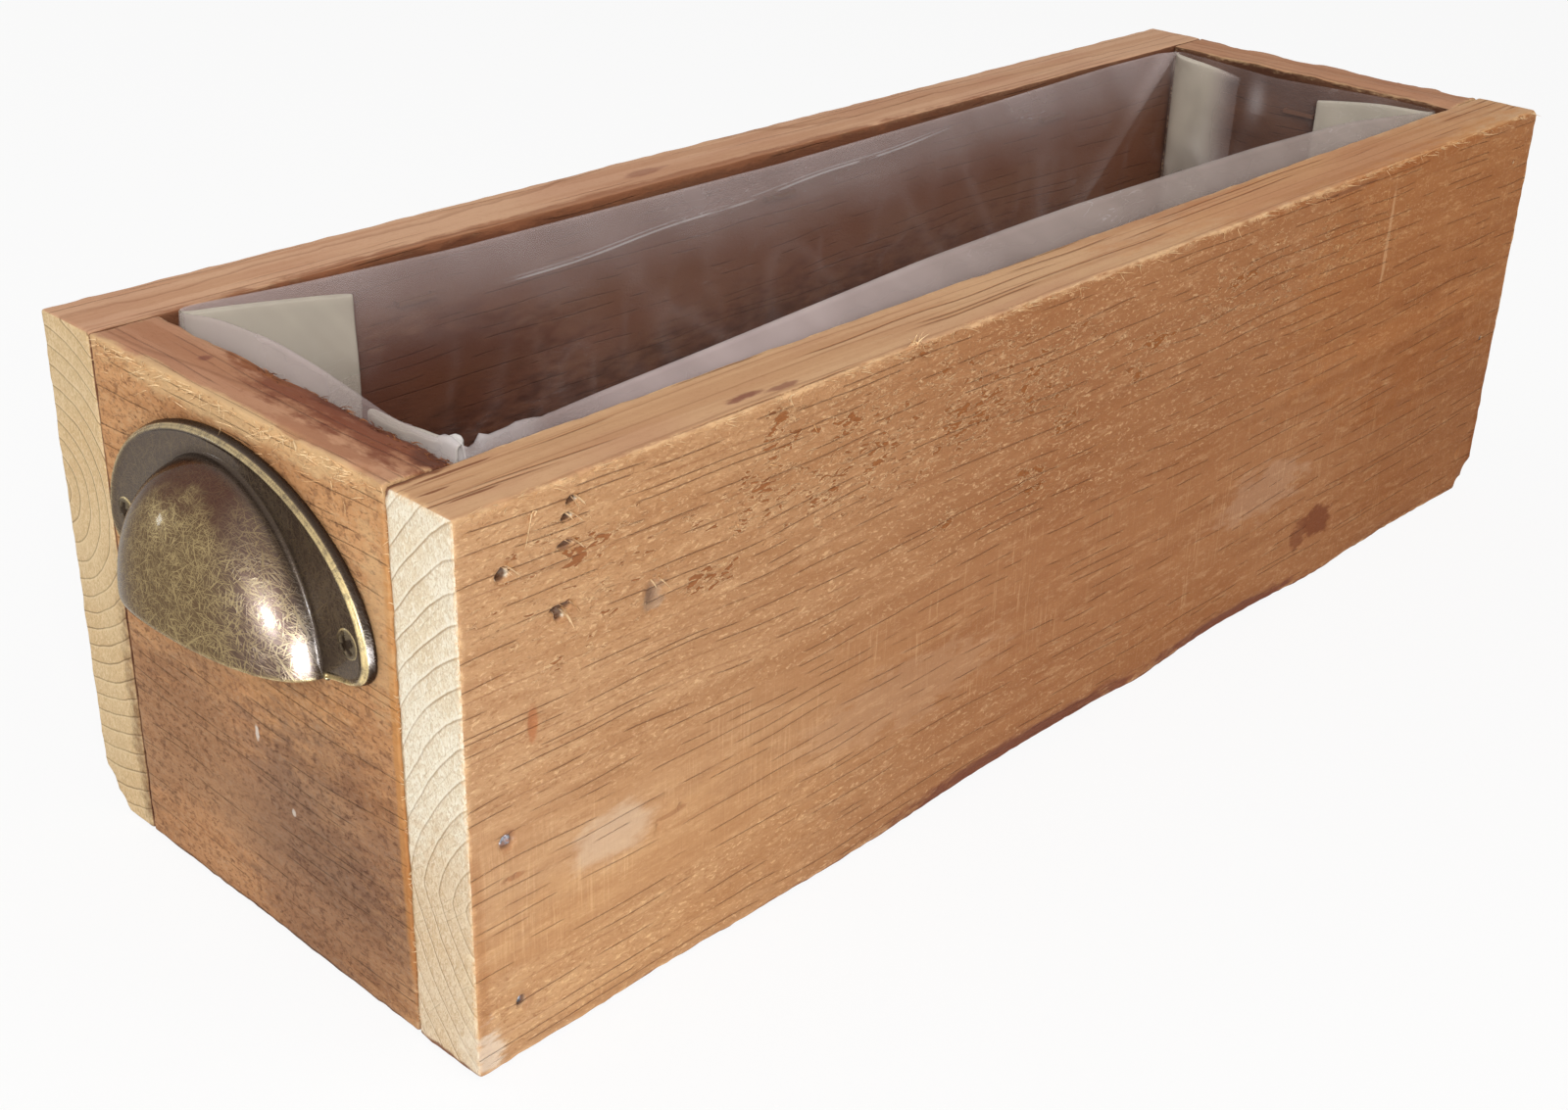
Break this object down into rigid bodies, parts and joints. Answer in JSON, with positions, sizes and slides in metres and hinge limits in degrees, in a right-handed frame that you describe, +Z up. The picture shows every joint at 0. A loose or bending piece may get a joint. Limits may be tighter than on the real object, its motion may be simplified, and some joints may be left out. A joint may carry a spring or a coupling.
{
  "type": "timber trough planter",
  "caption": "Rectangular trough planter of nailed reclaimed boards with a milky film liner folded over inside the rim and a hooded antique-brass cup pull on each end.",
  "frame": {"origin": "middle of the underside of the trough", "axes": "+X along the trough towards the right end, +Y from the front side board to the rear one, +Z up"},
  "size_m": [0.4396, 0.136, 0.12],
  "materials": {
    "front_timber": "rough-sawn reclaimed softwood, raw",
    "rear_timber": "rough-sawn reclaimed softwood, raw",
    "end_timber": "weathered reclaimed softwood, raw",
    "base_timber": "weathered reclaimed softwood, raw",
    "liner_film": "milky translucent film",
    "antique_brass": "dark antique brass, rubbed and lacquered",
    "screw_brass": "dark antique brass",
    "nail_steel": "dull steel with light rust",
    "staple_steel": "galvanised wire"
  },
  "bodies": {
    "root": {"front_side_board": "front_timber", "rear_side_board": "rear_timber", "left_end_board": "end_timber", "right_end_board": "end_timber", "base_board": "base_timber", "liner": "liner_film", "left_cup_pull": "antique_brass", "right_cup_pull": "antique_brass", "left_pull_screw_front": "screw_brass", "left_pull_screw_rear": "screw_brass", "right_pull_screw_front": "screw_brass", "right_pull_screw_rear": "screw_brass", "front_left_nail_low": "nail_steel", "front_left_nail_middle": "nail_steel", "front_left_nail_top": "nail_steel", "rear_left_nail_low": "nail_steel", "rear_left_nail_middle": "nail_steel", "rear_left_nail_top": "nail_steel", "front_right_nail_low": "nail_steel", "front_right_nail_middle": "nail_steel", "front_right_nail_top": "nail_steel", "rear_right_nail_low": "nail_steel", "rear_right_nail_middle": "nail_steel", "rear_right_nail_top": "nail_steel", "front_base_brad_1": "nail_steel", "front_base_brad_2": "nail_steel", "front_base_brad_3": "nail_steel", "rear_base_brad_1": "nail_steel", "rear_base_brad_2": "nail_steel", "rear_base_brad_3": "nail_steel", "front_liner_staple_1": "staple_steel", "front_liner_staple_2": "staple_steel", "front_liner_staple_3": "staple_steel", "rear_liner_staple_1": "staple_steel", "rear_liner_staple_2": "staple_steel", "rear_liner_staple_3": "staple_steel", "left_liner_staple_1": "staple_steel", "right_liner_staple_1": "staple_steel"}
  },
  "joints": []
}
